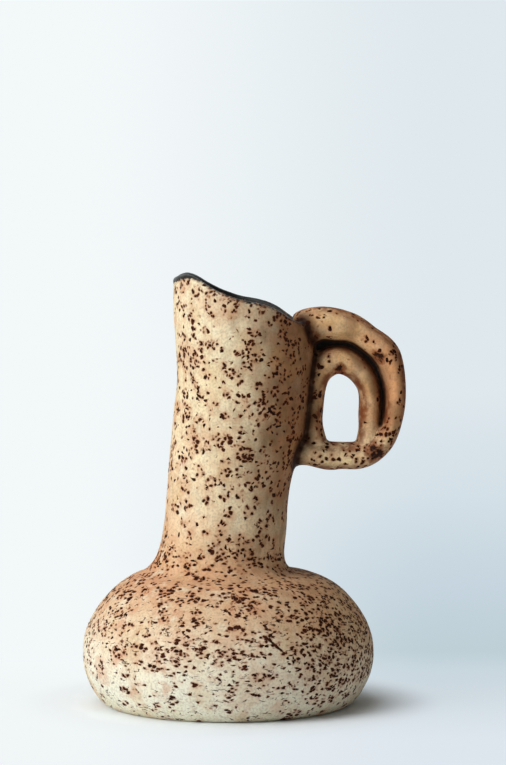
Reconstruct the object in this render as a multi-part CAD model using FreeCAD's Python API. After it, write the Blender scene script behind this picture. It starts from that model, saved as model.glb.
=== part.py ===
import FreeCAD, Part
import math
import os

# A hand-built stoneware pouring jug: a squat round belly on a flat foot, a tall neck that leans
# towards the handle, a slanted mouth with a rounded dark lip, and a handle bent from two coils
# of clay, one arched inside the other. Millimetres, +Z up. The origin is the centre of the
# foot's underside, and the handle lies in the XZ plane on the +X side.

# Belly and foot, whose flat underside is a share of the belly's radius
belly_radius = 84.8
foot_share = 0.8314
foot_radius = belly_radius * foot_share
foot_thickness = 8.0
belly_widest_height = 32.0
bowl_seam_height = 36.0

# Where the shoulder turns into the neck, and the coil of clay that joins them, from seam to seam
neck_root_height = 88.0
neck_root_drift = -5.3
root_seam_rise = 5.0
root_coil_height = 22.0
neck_root_seam_height = neck_root_height + root_seam_rise
shoulder_seam_height = neck_root_seam_height - root_coil_height

# Neck and mouth: the cut's fall from spout to handle, and the upper course under the spout
neck_radius = 39.8
neck_lean = 9.9
spout_height = 250.4
mouth_fall = 28.6
upper_course_height = 61.4
rim_low_height = spout_height - mouth_fall
neck_seam_height = spout_height - upper_course_height

# Wall, lip and the glaze inside
wall = 5.6
lip_height = 3.2
lip_swell = 0.3
glaze_thickness = 0.8

# Handle as a whole
handle_rise_over_rim = 9.1
handle_height = 95.2
handle_reach = 55.4

# Handle coils and the weld between them, thick and deep in shares of the handle's height
outer_thickness_share = 0.2059
outer_depth_share = 0.2521
inner_thickness_share = 0.1765
inner_depth_share = 0.2101
weld_half_width_share = 0.063
weld_half_height_share = 0.0798
weld_half_depth_share = 0.1134
outer_coil_thickness = handle_height * outer_thickness_share
outer_coil_depth = handle_height * outer_depth_share
inner_coil_thickness = handle_height * inner_thickness_share
inner_coil_depth = handle_height * inner_depth_share
web_thickness = 4.0

# One overrun serves every cut
overrun = 20.0

# The lower belly's swell: height share of the widest height, share of the way from foot to belly
lower_belly_shares = [(0.0, 0.0), (0.11, 0.36), (0.3, 0.65), (0.62, 0.93), (1.0, 1.0)]

# The shoulder: height share from the widest place to the neck's root, share of the radius left
# over the neck's, and share of the root's drift away from the handle
shoulder_shares = [
    (0.21, 0.95, 0.0),
    (0.39, 0.842, 0.0),
    (0.535, 0.71, 0.03),
    (0.643, 0.575, 0.12),
    (0.725, 0.422, 0.3),
    (0.768, 0.292, 0.6),
    (0.805, 0.15, 0.95),
    (0.85, 0.086, 1.0),
    (0.91, 0.044, 0.92),
    (1.0, 0.014, 0.76),
]

# The neck: height share from its root to the spout, share of its radius, share of its lean
neck_shares = [
    (0.06, 0.908, -0.23),
    (0.14, 0.897, -0.1),
    (0.23, 0.894, 0.04),
    (0.33, 0.935, 0.32),
    (0.42, 0.973, 0.62),
    (0.52, 0.986, 0.82),
    (0.61, 0.984, 0.96),
    (0.69, 0.999, 1.0),
    (0.765, 0.993, 0.93),
    (0.83, 0.97, 0.76),
    (0.9, 0.957, 0.68),
    (1.0, 0.955, 0.66),
    (1.1, 0.955, 0.66),
]
neck_root_share = neck_shares[0][1]
mouth_shares = neck_shares[-1]

# The rim line seen from the side: place across the mouth in shares of its radius, from the
# spout at -1 to the handle at 1, and height share from the low end to the spout's tip
rim_shares = [
    (-1.1, 0.84),
    (-0.94, 0.915),
    (-0.84, 0.98),
    (-0.75, 0.985),
    (-0.655, 0.92),
    (-0.535, 0.825),
    (-0.41, 0.725),
    (-0.2, 0.6),
    (0.0, 0.512),
    (0.18, 0.46),
    (0.32, 0.425),
    (0.47, 0.355),
    (0.625, 0.23),
    (0.75, 0.12),
    (0.88, 0.035),
    (1.1, 0.0),
]

# The outer coil, from the mouth over and down and back to the neck: reach share, height share,
# share of the coil's thickness, share of its depth
outer_coil_shares = [
    (-0.175, 0.862, 0.56, 0.62),
    (-0.15, 0.864, 0.86, 0.94),
    (-0.08, 0.874, 1.0, 1.08),
    (0.06, 0.895, 1.0, 1.0),
    (0.2, 0.897, 0.98, 1.0),
    (0.352, 0.881, 0.91, 1.0),
    (0.502, 0.847, 0.8, 0.98),
    (0.646, 0.788, 0.79, 0.96),
    (0.767, 0.726, 0.82, 0.94),
    (0.852, 0.623, 0.735, 0.92),
    (0.885, 0.507, 0.645, 0.92),
    (0.881, 0.408, 0.615, 0.94),
    (0.85, 0.296, 0.57, 0.96),
    (0.795, 0.211, 0.6, 0.98),
    (0.703, 0.149, 0.69, 1.0),
    (0.588, 0.106, 0.77, 1.0),
    (0.43, 0.087, 0.81, 1.0),
    (0.258, 0.086, 0.83, 1.0),
    (0.078, 0.098, 0.84, 1.02),
    (-0.076, 0.118, 0.88, 1.08),
    (-0.24, 0.12, 0.98, 1.16),
]

# Where the arch ends on the bottom bar: a point on the joint and a point further down it
bar_joint_shares = [(0.49, 0.22), (0.82, 0.07)]

# The inner coil, from the bar up beside the neck, over the finger hole and down to the bar
inner_coil_shares = [
    (0.03, 0.1, 0.76, 1.04),
    (0.022, 0.24, 0.73, 1.04),
    (0.022, 0.36, 0.7, 1.02),
    (0.036, 0.47, 0.74, 1.0),
    (0.072, 0.58, 0.86, 1.0),
    (0.18, 0.656, 1.0, 1.0),
    (0.325, 0.669, 0.945, 1.0),
    (0.457, 0.629, 0.87, 0.98),
    (0.552, 0.568, 0.81, 0.96),
    (0.602, 0.495, 0.74, 0.96),
    (0.61, 0.42, 0.735, 0.96),
    (0.601, 0.334, 0.725, 0.96),
    (0.597, 0.24, 0.71, 0.98),
    (0.6, 0.11, 0.72, 1.0),
]

# The smear of clay that closes the lower end of the groove between the coils
weld_place_shares = (0.722, 0.19)

# How many rings shape the lip, and how many rounds settle the height of each
lip_rings = 24
settling_rounds = 4

# How far the space above the wall reaches in from the wall towards the mouth's middle
space_inner_share = 0.8


def vector(x, y, z):
    return FreeCAD.Vector(x, y, z)


# A smooth value between rows of places and values, with the slope at each row taken from its
# neighbours.
def smooth_value(rows, column, place):
    places = [row[0] for row in rows]
    values = [row[column] for row in rows]
    if place <= places[0]:
        return values[0]
    if place >= places[-1]:
        return values[-1]
    after = next(index for index, one in enumerate(places) if one > place)
    before = after - 1
    span = places[after] - places[before]
    share = (place - places[before]) / span
    rise = (values[after] - values[before]) / span
    slopes = []
    for index in (before, after):
        if index == 0 or index == len(places) - 1:
            slopes.append(rise)
        else:
            run = places[index + 1] - places[index - 1]
            slopes.append((values[index + 1] - values[index - 1]) / run)
    start_bend = share * (1 - share) ** 2 * span * slopes[0]
    end_bend = share ** 2 * (1 - share) * span * slopes[1]
    blend = share ** 2 * (3 - 2 * share)
    return values[before] + (values[after] - values[before]) * blend + start_bend - end_bend


# Every level of the outside: height, radius, and how far its centre stands towards the handle.
def wall_levels():
    levels = []
    for height_share, swell_share in lower_belly_shares:
        radius = foot_radius + (belly_radius - foot_radius) * swell_share
        levels.append((belly_widest_height * height_share, radius, 0.0))
    shoulder_rise = neck_root_height - belly_widest_height
    root_radius = neck_radius * neck_root_share
    for height_share, radius_share, drift_share in shoulder_shares:
        height = belly_widest_height + shoulder_rise * height_share
        radius = root_radius + (belly_radius - root_radius) * radius_share
        levels.append((height, radius, neck_root_drift * drift_share))
    neck_rise = spout_height - neck_root_height
    for height_share, radius_share, lean_share in neck_shares:
        height = neck_root_height + neck_rise * height_share
        levels.append((height, neck_radius * radius_share, neck_lean * lean_share))
    return levels


# The same levels moved inwards, square to the wall.
def levels_inside(levels, depth):
    inner = []
    for index, (height, radius, lean) in enumerate(levels):
        below = levels[max(index - 1, 0)]
        above = levels[min(index + 1, len(levels) - 1)]
        rise = above[0] - below[0]
        widening = above[1] - below[1]
        length = math.hypot(rise, widening)
        inner_height = height + depth * widening / length
        inner_radius = radius - depth * rise / length
        inner.append((inner_height, inner_radius, lean))
    return inner


# A solid round form through rings at those levels.
def round_form(levels):
    rings = []
    for height, radius, lean in levels:
        circle = Part.Circle(vector(lean, 0, height), vector(0, 0, 1), radius)
        rings.append(Part.Wire([circle.toShape()]))
    return Part.makeLoft(rings, True, False)


# A block that holds everything between two heights.
def block_between(low, high):
    side = belly_radius + handle_reach + overrun
    return Part.makeBox(2 * side, 2 * side, high - low, vector(-side, -side, low))


levels = wall_levels()
mouth_lean = neck_lean * mouth_shares[2]
mouth_radius = neck_radius * mouth_shares[1]


# The height of the rim line at a place across the mouth.
def rim_height_at(x):
    place = (x - mouth_lean) / mouth_radius
    return rim_low_height + (spout_height - rim_low_height) * smooth_value(rim_shares, 1, place)


# Places round the middle of the wall's top edge, each with its direction out from the mouth's
# centre.
def wall_top_places():
    places = []
    for step in range(lip_rings):
        turn = 2 * math.pi * step / lip_rings
        outwards = vector(math.cos(turn), math.sin(turn), 0)
        height = spout_height
        for _ in range(settling_rounds):
            radius = smooth_value(levels, 1, height) - wall / 2
            centre = smooth_value(levels, 2, height)
            height = rim_height_at(centre + radius * outwards.x) - lip_height
        places.append((vector(centre, 0, height) + outwards * radius, outwards))
    return places


# A roll of clay laid round the mouth, half of it sunk below the wall's top edge.
def make_lip_roll():
    places = wall_top_places()
    rings = []
    for step, (place, _) in enumerate(places):
        along = places[(step + 1) % lip_rings][0] - places[step - 1][0]
        half_across = wall / 2 + lip_swell
        rings.append(oval_ring(place, along.normalize(), vector(0, 0, 1), lip_height, half_across))
    return Part.makeLoft(rings, True, False, True)


# A broad band of space above the wall's top edge, level from its inner to its outer side.
def make_space_above_wall():
    rings = []
    for place, outwards in wall_top_places():
        inner = place - outwards * (mouth_radius - wall) * space_inner_share
        outer = place + outwards * overrun
        top = vector(0, 0, spout_height + overrun)
        corners = [inner, outer, vector(outer.x, outer.y, 0) + top, vector(inner.x, inner.y, 0) + top]
        rings.append(Part.makePolygon(corners + [corners[0]]))
    return Part.makeLoft(rings, True, False, True)


# A closed oval ring square to a direction: a unit circle stretched upwards and across.
def oval_ring(centre, along, up, half_up, half_across):
    stretch = FreeCAD.Matrix()
    stretch.scale(half_up, half_across, 1)
    ring = Part.Circle(vector(0, 0, 0), vector(0, 0, 1), 1).toShape().transformGeometry(stretch)
    across = along.cross(up)
    ring.Placement = FreeCAD.Placement(centre, FreeCAD.Rotation(up, across * -1, along, "ZXY"))
    return Part.Wire([ring])


# The neck's side under the handle, from which the handle's places are measured.
handle_top_height = rim_low_height + handle_rise_over_rim
handle_bottom_height = handle_top_height - handle_height
handle_middle_height = (handle_top_height + handle_bottom_height) / 2
neck_side = smooth_value(levels, 1, handle_middle_height) + smooth_value(levels, 2, handle_middle_height)


# A place in the handle's own plane.
def handle_place(reach_share, height_share):
    x = neck_side + handle_reach * reach_share
    return vector(x, 0, handle_bottom_height + handle_height * height_share)


# A coil of clay through rings square to its line.
def clay_coil(rows, thickness, depth):
    centres = [handle_place(row[0], row[1]) for row in rows]
    rings = []
    for index, row in enumerate(rows):
        before = centres[max(index - 1, 0)]
        after = centres[min(index + 1, len(centres) - 1)]
        along = after - before
        along.normalize()
        up = vector(-along.z, 0, along.x)
        rings.append(oval_ring(centres[index], along, up, thickness * row[2] / 2, depth * row[3] / 2))
    return Part.makeLoft(rings, True, False)


# A wedge-shaped block on the upper side of the joint between the arch and the bottom bar.
def block_above_bar_joint():
    start, further = [handle_place(*shares) for shares in bar_joint_shares]
    along = further - start
    along.normalize()
    square = vector(-along.z, 0, along.x)
    reach = 2 * (handle_height + handle_reach)
    corners = [start - along * reach, start + along * reach]
    corners += [corners[1] + square * reach, corners[0] + square * reach]
    outline = Part.makePolygon(corners + [corners[0]])
    face = Part.Face(outline)
    face.translate(vector(0, outer_coil_depth, 0))
    return face.extrude(vector(0, -2 * outer_coil_depth, 0))


outside = round_form(levels)
inside = round_form(levels_inside(levels, wall)).cut(block_between(-overrun, foot_thickness))
glaze_inside = round_form(levels_inside(levels, wall + glaze_thickness))
glaze_inside = glaze_inside.cut(block_between(-overrun, foot_thickness + glaze_thickness))
space_above_wall = make_space_above_wall()
mouth_lip = make_lip_roll().common(space_above_wall)
clay_wall = outside.cut(inside)
glaze_coat = inside.cut(glaze_inside)


# One course of the wall, or of the glaze inside it, between two seams.
def course(shell, low, high):
    return shell.common(block_between(low, high))


# The flat foot, with the lowest turn of the belly's curve as its edge.
def make_foot_slab():
    return course(outside, -overrun, foot_thickness)


def make_belly_bowl():
    return course(clay_wall, foot_thickness, bowl_seam_height)


def make_belly_shoulder():
    return course(clay_wall, bowl_seam_height, shoulder_seam_height)


def make_neck_root_coil():
    return course(clay_wall, shoulder_seam_height, neck_root_seam_height)


def make_neck_lower():
    return course(clay_wall, neck_root_seam_height, neck_seam_height)


def make_neck_upper():
    return course(clay_wall, neck_seam_height, spout_height).cut(space_above_wall)


# The glaze inside was poured: one coat covers the belly up to the neck's root, one the neck.
def make_belly_glaze():
    return course(glaze_coat, foot_thickness, neck_root_seam_height)


def make_neck_glaze():
    return course(glaze_coat, neck_root_seam_height, spout_height).cut(space_above_wall)


whole_outer_coil = clay_coil(outer_coil_shares, outer_coil_thickness, outer_coil_depth)
whole_inner_coil = clay_coil(inner_coil_shares, inner_coil_thickness, inner_coil_depth)
outer_coil = whole_outer_coil.cut(outside).cut(mouth_lip)
inner_coil = whole_inner_coil.cut(outside).cut(whole_outer_coil)


def make_handle_outer_arch():
    return outer_coil.common(block_above_bar_joint())


def make_handle_bottom_bar():
    return outer_coil.cut(block_above_bar_joint())


# The outer coil's end, lapped over the lip and smeared down on it.
def make_handle_root_lap():
    over_wall = whole_outer_coil.common(outside)
    return course(over_wall, rim_low_height, spout_height).cut(mouth_lip)


# The smear in the groove's lower end, an egg of clay that both coils press flat.
def make_handle_weld():
    stretch = FreeCAD.Matrix()
    stretch.scale(weld_half_width_share, weld_half_depth_share, weld_half_height_share)
    egg = Part.makeSphere(handle_height).transformGeometry(stretch)
    egg.translate(handle_place(*weld_place_shares))
    return egg.cut(whole_outer_coil).cut(whole_inner_coil)


handle_weld = make_handle_weld()


# The web that closes the groove halfway through: the space between the lines of the two coils.
def make_handle_web():
    outer_line = [handle_place(row[0], row[1]) for row in outer_coil_shares[2:15]]
    inner_line = [handle_place(row[0], row[1]) for row in inner_coil_shares[4:13]]
    corners = outer_line + inner_line[::-1]
    face = Part.Face(Part.makePolygon(corners + [corners[0]]))
    face.translate(vector(0, web_thickness / 2, 0))
    web = face.extrude(vector(0, -web_thickness, 0))
    return web.cut(whole_outer_coil).cut(whole_inner_coil).cut(handle_weld).cut(outside)


makers = {
    "foot_slab": make_foot_slab,
    "belly_bowl": make_belly_bowl,
    "belly_shoulder": make_belly_shoulder,
    "neck_root_coil": make_neck_root_coil,
    "neck_lower": make_neck_lower,
    "neck_upper": make_neck_upper,
    "mouth_lip": lambda: mouth_lip,
    "belly_glaze": make_belly_glaze,
    "neck_glaze": make_neck_glaze,
    "handle_outer_arch": make_handle_outer_arch,
    "handle_root_lap": make_handle_root_lap,
    "handle_bottom_bar": make_handle_bottom_bar,
    "handle_inner_arch": lambda: inner_coil,
    "handle_web": make_handle_web,
    "handle_weld": lambda: handle_weld,
}

os.makedirs("parts", exist_ok=True)
for name, make in makers.items():
    shape = make()
    print(f"{name}: {len(shape.Solids)} solid, valid {shape.isValid()}, {shape.Volume / 1000:.1f} ml")
    shape.exportStep(f"parts/{name}.step")
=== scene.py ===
import math
import time

import bmesh
import bpy
import numpy as np
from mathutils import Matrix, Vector, noise
from mathutils.bvhtree import BVHTree


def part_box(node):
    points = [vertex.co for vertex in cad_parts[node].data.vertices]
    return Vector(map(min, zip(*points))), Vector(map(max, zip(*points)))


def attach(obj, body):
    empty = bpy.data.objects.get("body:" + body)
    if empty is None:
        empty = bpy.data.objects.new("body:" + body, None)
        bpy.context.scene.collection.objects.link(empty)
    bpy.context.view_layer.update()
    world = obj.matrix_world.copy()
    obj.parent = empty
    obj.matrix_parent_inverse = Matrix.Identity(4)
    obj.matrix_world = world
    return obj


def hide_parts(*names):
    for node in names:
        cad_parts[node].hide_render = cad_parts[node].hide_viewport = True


# A hand-built stoneware jug. The clay is made as one soft form from copies of the CAD nodes, so
# that coils melt into the wall as pressed clay does, and is then cut into a piece for each node.
# Shapes are in metres and mm is one millimetre. Materials count in millimetres.

mm = 0.001
startTime = time.perf_counter()


def report(words):
    print(f"[{time.perf_counter() - startTime:6.1f} s] {words}")


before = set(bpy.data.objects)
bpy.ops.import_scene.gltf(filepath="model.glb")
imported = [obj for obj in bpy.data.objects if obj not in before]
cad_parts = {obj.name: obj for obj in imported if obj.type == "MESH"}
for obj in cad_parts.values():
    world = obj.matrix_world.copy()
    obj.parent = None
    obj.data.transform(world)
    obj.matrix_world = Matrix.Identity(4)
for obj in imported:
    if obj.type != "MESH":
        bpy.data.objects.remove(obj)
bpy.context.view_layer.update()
scene = bpy.context.scene
report("frame loaded")

cameraSettings = {
    "place": (0.0146, -1.676, 0.2895),
    "pitchDown": 3.51,
    "focalLength": 136.0,
    "sensorLongSide": 36.0,
}


def makeCamera(settings):
    lens = bpy.data.cameras.new("photoCamera")
    lens.sensor_fit = "AUTO"
    lens.sensor_width = settings["sensorLongSide"]
    lens.lens = settings["focalLength"]
    camera = bpy.data.objects.new("photoCamera", lens)
    camera.location = settings["place"]
    camera.rotation_euler = (math.radians(90 - settings["pitchDown"]), 0, 0)
    scene.collection.objects.link(camera)
    scene.camera = camera


makeCamera(cameraSettings)

vesselNodes = [
    "foot_slab", "belly_bowl", "belly_shoulder", "neck_root_coil", "neck_lower", "neck_upper",
    "mouth_lip",
]
handleNodes = [
    "handle_outer_arch", "handle_root_lap", "handle_bottom_bar", "handle_inner_arch",
    "handle_web", "handle_weld",
]

claySettings = {
    "mergeWithin": 0.001 * mm,
    "voxel": (1.0 * mm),
    "softenStep": 0.5,
    "softenAll": 4,
    "softenJoints": 26,
    "jointReach": 5.0 * mm,
    # only clay beyond this, along X, is near the handle
    "handleFrom": 0.02,
    # size, amount and seed of each wobble
    "wobbles": [(46 * mm, 0.55 * mm, 3), (17 * mm, 0.26 * mm, 8), (6.5 * mm, 0.1 * mm, 15)],
    "seedSteps": (3.7, 1.3, 5.1),
    "noiseSeed": 5,
    "flatUnder": 6.0 * mm,
    "cutVoxel": 1.4 * mm,
    "cutGrowth": 0.5 * mm,
    "slabWidth": 0.5,
    "fewestInPiece": 60,
    "sharpAngle": 50,
}


def newPiece(name, mesh):
    piece = bpy.data.objects.new(name, mesh)
    scene.collection.objects.link(piece)
    return piece


def meshFrom(form, name):
    mesh = bpy.data.meshes.new(name)
    form.to_mesh(mesh)
    form.free()
    return mesh


# A copy of a CAD node with its loose triangles merged.
def mergedForm(node):
    form = bmesh.new()
    form.from_mesh(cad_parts[node].data)
    bmesh.ops.remove_doubles(form, verts=form.verts, dist=claySettings["mergeWithin"])
    return form


def joinedNodes(name, nodes):
    joined = bmesh.new()
    for node in nodes:
        merged = meshFrom(mergedForm(node), node + "Merged")
        joined.from_mesh(merged)
        bpy.data.meshes.remove(merged)
    return newPiece(name, meshFrom(joined, name))


# Applies the modifiers that a piece has.
def settle(piece):
    graph = bpy.context.evaluated_depsgraph_get()
    mesh = bpy.data.meshes.new_from_object(piece.evaluated_get(graph))
    piece.modifiers.clear()
    piece.data = mesh


def readVectors(items, label):
    values = np.zeros(len(items) * 3, np.float32)
    items.foreach_get(label, values)
    return values.reshape(-1, 3).astype(float)


def readPlaces(mesh):
    return readVectors(mesh.vertices, "co")


def readNormals(mesh):
    return readVectors(mesh.vertex_normals, "vector")


def moveVertices(mesh, places):
    mesh.vertices.foreach_set("co", np.ascontiguousarray(places, np.float32).ravel())
    mesh.update()


def remesh(piece, size):
    change = piece.modifiers.new("remesh", "REMESH")
    change.mode = "VOXEL"
    change.voxel_size = size
    settle(piece)


def addSoftener(piece, rounds, group=""):
    soft = piece.modifiers.new("soften", "SMOOTH")
    soft.factor = claySettings["softenStep"]
    soft.iterations = rounds
    soft.vertex_group = group


def surfaceTree(nodes):
    form = bmesh.new()
    for node in nodes:
        form.from_mesh(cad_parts[node].data)
    tree = BVHTree.FromBMesh(form)
    form.free()
    return tree


def distancesTo(tree, places, reach):
    found = np.full(len(places), reach)
    for index, place in enumerate(places):
        distance = tree.find_nearest(place, reach)[3]
        if distance is not None:
            found[index] = distance
    return found


# Clay made by hand is nowhere quite true: all pieces share this slow wobble of space.
def wobbled(places):
    moved = places.copy()
    for size, amount, seed in claySettings["wobbles"]:
        shift = Vector([seed * step for step in claySettings["seedSteps"]])
        pushes = np.array([noise.noise_vector(Vector(place) / size + shift) for place in places])
        moved += pushes * amount
    keep = np.clip(places[:, 2] / claySettings["flatUnder"], 0, 1)
    moved[:, 2] = places[:, 2] + (moved[:, 2] - places[:, 2]) * keep
    return moved


# Without a seed the wobble's noise would differ from run to run.
noise.seed_set(claySettings["noiseSeed"])
vesselTree = surfaceTree(vesselNodes)
handleTree = surfaceTree(handleNodes)


def makeClay():
    clay = joinedNodes("clayForm", vesselNodes + handleNodes)
    remesh(clay, claySettings["voxel"])
    report(f"clay remeshed, {len(clay.data.polygons)} faces")
    places = readPlaces(clay.data)
    reach = claySettings["jointReach"]
    near = np.where(places[:, 0] > claySettings["handleFrom"])[0]
    toVessel = distancesTo(vesselTree, places[near], reach)
    toHandle = distancesTo(handleTree, places[near], reach)
    joint = np.clip(1 - np.maximum(toVessel, toHandle) / reach, 0, 1)
    group = clay.vertex_groups.new(name="joint")
    for index, weight in zip(near.tolist(), joint.tolist()):
        if weight > 0:
            group.add([index], weight, "REPLACE")
    addSoftener(clay, claySettings["softenJoints"], "joint")
    addSoftener(clay, claySettings["softenAll"])
    settle(clay)
    report("clay softened")
    moveVertices(clay.data, wobbled(readPlaces(clay.data)))
    report("clay wobbled")
    return clay


# A copy of some nodes, grown a little all round, that takes their share out of the clay.
def cutterFor(nodes):
    cutter = joinedNodes("cutter", nodes)
    remesh(cutter, claySettings["cutVoxel"])
    places = readPlaces(cutter.data) + readNormals(cutter.data) * claySettings["cutGrowth"]
    moveVertices(cutter.data, wobbled(places))
    return cutter


def slabCutter(low, high):
    width = claySettings["slabWidth"]
    form = bmesh.new()
    bmesh.ops.create_cube(form, size=1)
    bmesh.ops.scale(form, vec=(width, width, high - low), verts=form.verts)
    bmesh.ops.translate(form, vec=(0, 0, (low + high) / 2), verts=form.verts)
    return newPiece("slab", meshFrom(form, "slab"))


def cutWith(piece, cutter, operation):
    change = piece.modifiers.new("cut", "BOOLEAN")
    change.solver = "MANIFOLD"
    change.operation = operation
    change.object = cutter
    settle(piece)


def copyOf(piece, name):
    return newPiece(name, piece.data.copy())


# Crumbs are islands of a few vertices that a cut leaves beside a piece.
def clearCrumbs(piece):
    form = bmesh.new()
    form.from_mesh(piece.data)
    left = set(form.verts)
    crumbs = []
    while left:
        island = {left.pop()}
        edge = list(island)
        while edge:
            links = [link for vert in edge for link in vert.link_edges]
            near = {other for link in links for other in link.verts} - island
            island |= near
            edge = list(near)
        left -= island
        if len(island) < claySettings["fewestInPiece"]:
            crumbs += island
    if crumbs:
        bmesh.ops.delete(form, geom=crumbs, context="VERTS")
        form.to_mesh(piece.data)
    form.free()
    return len(crumbs)


clayForm = makeClay()

# Each course of the wall, from its lower to its upper seam. Slabs reach past the clay's ends.
courses = {
    "foot_slab": (-0.02, 0.008),
    "belly_bowl": (0.008, 0.036),
    "belly_shoulder": (0.036, 0.071),
    "neck_root_coil": (0.071, 0.093),
    "neck_lower": (0.093, 0.189),
    "neck_upper": (0.189, 0.3),
}
# The order in which coils are cut off the handle. What is left then is the outer arch.
coilOrder = [
    "handle_inner_arch", "handle_bottom_bar", "handle_root_lap", "handle_weld", "handle_web",
]
skinNames = {
    "foot_slab": "footClay",
    "belly_bowl": "bellyBowlClay",
    "belly_shoulder": "bellyShoulderClay",
    "neck_root_coil": "neckRootClay",
    "neck_lower": "neckLowerClay",
    "neck_upper": "neckUpperClay",
    "mouth_lip": "mouthLipClay",
    "handle_outer_arch": "outerArchClay",
    "handle_root_lap": "rootLapClay",
    "handle_bottom_bar": "bottomBarClay",
    "handle_inner_arch": "innerArchClay",
    "handle_web": "webClay",
    "handle_weld": "weldClay",
}


def cutPieces():
    skins = {}
    cutter = cutterFor(vesselNodes)
    vessel = copyOf(clayForm, "vessel")
    cutWith(vessel, cutter, "INTERSECT")
    rest = copyOf(clayForm, "handleRest")
    cutWith(rest, cutter, "DIFFERENCE")
    bpy.data.objects.remove(cutter)
    for node, (low, high) in courses.items():
        slab = slabCutter(low, high)
        skins[node] = copyOf(vessel, skinNames[node])
        cutWith(skins[node], slab, "INTERSECT")
        bpy.data.objects.remove(slab)
    report("vessel cut into courses")

    def cutOff(node, whole):
        cutter = cutterFor([node])
        skins[node] = copyOf(whole, skinNames[node])
        cutWith(skins[node], cutter, "INTERSECT")
        cutWith(whole, cutter, "DIFFERENCE")
        bpy.data.objects.remove(cutter)

    cutOff("mouth_lip", skins["neck_upper"])
    for node in coilOrder:
        cutOff(node, rest)
    rest.name = skinNames["handle_outer_arch"]
    skins["handle_outer_arch"] = rest
    for spare in (vessel, clayForm):
        bpy.data.objects.remove(spare)
    for skin in skins.values():
        crumbs = clearCrumbs(skin)
        print(f"  {skin.name}: {len(skin.data.polygons)} faces, {crumbs} crumbs cleared")
    report("lip and handle cut")
    return skins


skins = cutPieces()

# The glaze inside is the CAD coat itself with the same wobble.
glazeNames = {"belly_glaze": "bellyGlazeCoat", "neck_glaze": "neckGlazeCoat"}
for node, name in glazeNames.items():
    form = mergedForm(node)
    bmesh.ops.recalc_face_normals(form, faces=form.faces)
    mesh = meshFrom(form, name)
    skins[node] = newPiece(name, mesh)
    moveVertices(mesh, wobbled(readPlaces(mesh)))
report("glaze coats made")

# Marks painted on the clay, each a value at every vertex; several place painted shade, in the
# crease, in the groove, at the handle's joints and undersides, and on its edges. Middles are X and
# Z.
markSettings = {
    "rimSteps": 60,
    "handleAbove": 0.11,
    "creaseReach": 9.0 * mm,
    "grooveReach": 7.0 * mm,
    "archMiddle": (0.062, 0.186),
    "archReach": (0.041, 0.045),
    # where the arch's outer band sets in, as a share of its reach, and how far it fades
    "bandStart": 0.8,
    "bandFade": 0.25,
    "holeMiddle": (0.0655, 0.172),
    "holeReach": (24 * mm, 34 * mm),
    "leastAway": 0.1 * mm,
    "handleShadeSlope": 1.7,
    # place, reach and strength of each spot of painted shade on the handle, at its joints and
    # under and behind its coils, by what it is
    "handleShadeSpots": {
        "barJoint": ((0.0855, -0.009, 0.147), 9.0 * mm, 0.95),
        "fingerHoleTop": ((0.0645, -0.007, 0.1955), 6.0 * mm, 0.9),
        "archMiddle": ((0.087, -0.009, 0.202), 7.0 * mm, 0.9),
        "rootUnder": ((0.047, -0.01, 0.213), 9.0 * mm, 0.8),
        "innerLeg": ((0.078, -0.008, 0.172), 8.0 * mm, 0.5),
        "barBehind": ((0.0835, 0.009, 0.151), 8.0 * mm, 0.8),
        "archBehind": ((0.095, 0.008, 0.19), 7.0 * mm, 0.7),
    },
}


# The height of the mouth's edge along X.
def rimLine():
    low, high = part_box("mouth_lip")
    places = readPlaces(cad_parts["mouth_lip"].data)
    steps = np.linspace(low.x, high.x, markSettings["rimSteps"])
    heights = []
    for start, end in zip(steps[:-1], steps[1:]):
        inside = places[(places[:, 0] >= start) & (places[:, 0] <= end)]
        heights.append(inside[:, 2].max())
    return (steps[:-1] + steps[1:]) / 2, np.array(heights)


rimPlaces, rimHeights = rimLine()
webTree = surfaceTree(["handle_web"])


def paint(mesh, name, values):
    layer = mesh.attributes.new(name, "FLOAT", "POINT")
    layer.data.foreach_set("value", np.ascontiguousarray(values, np.float32))


# Where the handle meets the wall, for the painted shade in the crease there: 1 on the other one's
# surface, 0 from the reach on.
def creaseOf(node, places):
    crease = np.zeros(len(places))
    beyond = places[:, 0] > claySettings["handleFrom"]
    near = np.where(beyond & (places[:, 2] > markSettings["handleAbove"]))[0]
    if len(near) and node not in glazeNames:
        others = vesselTree if node in handleNodes else handleTree
        reach = markSettings["creaseReach"]
        crease[near] = 1 - distancesTo(others, places[near], reach) / reach
    return crease


# Nearness to the web at the bottom of the handle's groove, for painted shade on the groove's
# walls.
def grooveOf(node, places):
    if node not in handleNodes:
        return np.zeros(len(places))
    reach = markSettings["grooveReach"]
    return 1 - distancesTo(webTree, places, reach) / reach


# Painted shade at the handle's joints and under and behind its coils: each spot's strength near
# its middle, fading to nothing at its reach.
def handleShadeOf(places):
    handleShade = np.zeros(len(places))
    for spot, reach, strength in markSettings["handleShadeSpots"].values():
        gap = np.linalg.norm(places - np.array(spot), axis=1) / reach
        there = np.clip(markSettings["handleShadeSlope"] * (1 - gap), 0, 1)
        handleShade = np.maximum(handleShade, strength * there)
    return handleShade


# Spots on the handle keep mostly to the outer side of the arch.
def edgeBandOf(places):
    offset = places[:, [0, 2]] - np.array(markSettings["archMiddle"])
    out = np.linalg.norm(offset / np.array(markSettings["archReach"]), axis=1)
    return np.clip((out - markSettings["bandStart"]) / markSettings["bandFade"], 0, 1)


# How far a surface of the handle faces a point, both seen from the side.
def facing(places, normals, middle, reach=None):
    towards = np.array(middle) - places[:, [0, 2]]
    away = np.linalg.norm(towards, axis=1)
    amount = (towards * normals[:, [0, 2]]).sum(axis=1)
    amount /= np.maximum(away, markSettings["leastAway"])
    if reach is not None:
        amount *= np.clip((reach[1] - away) / (reach[1] - reach[0]), 0, 1)
    return amount


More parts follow.
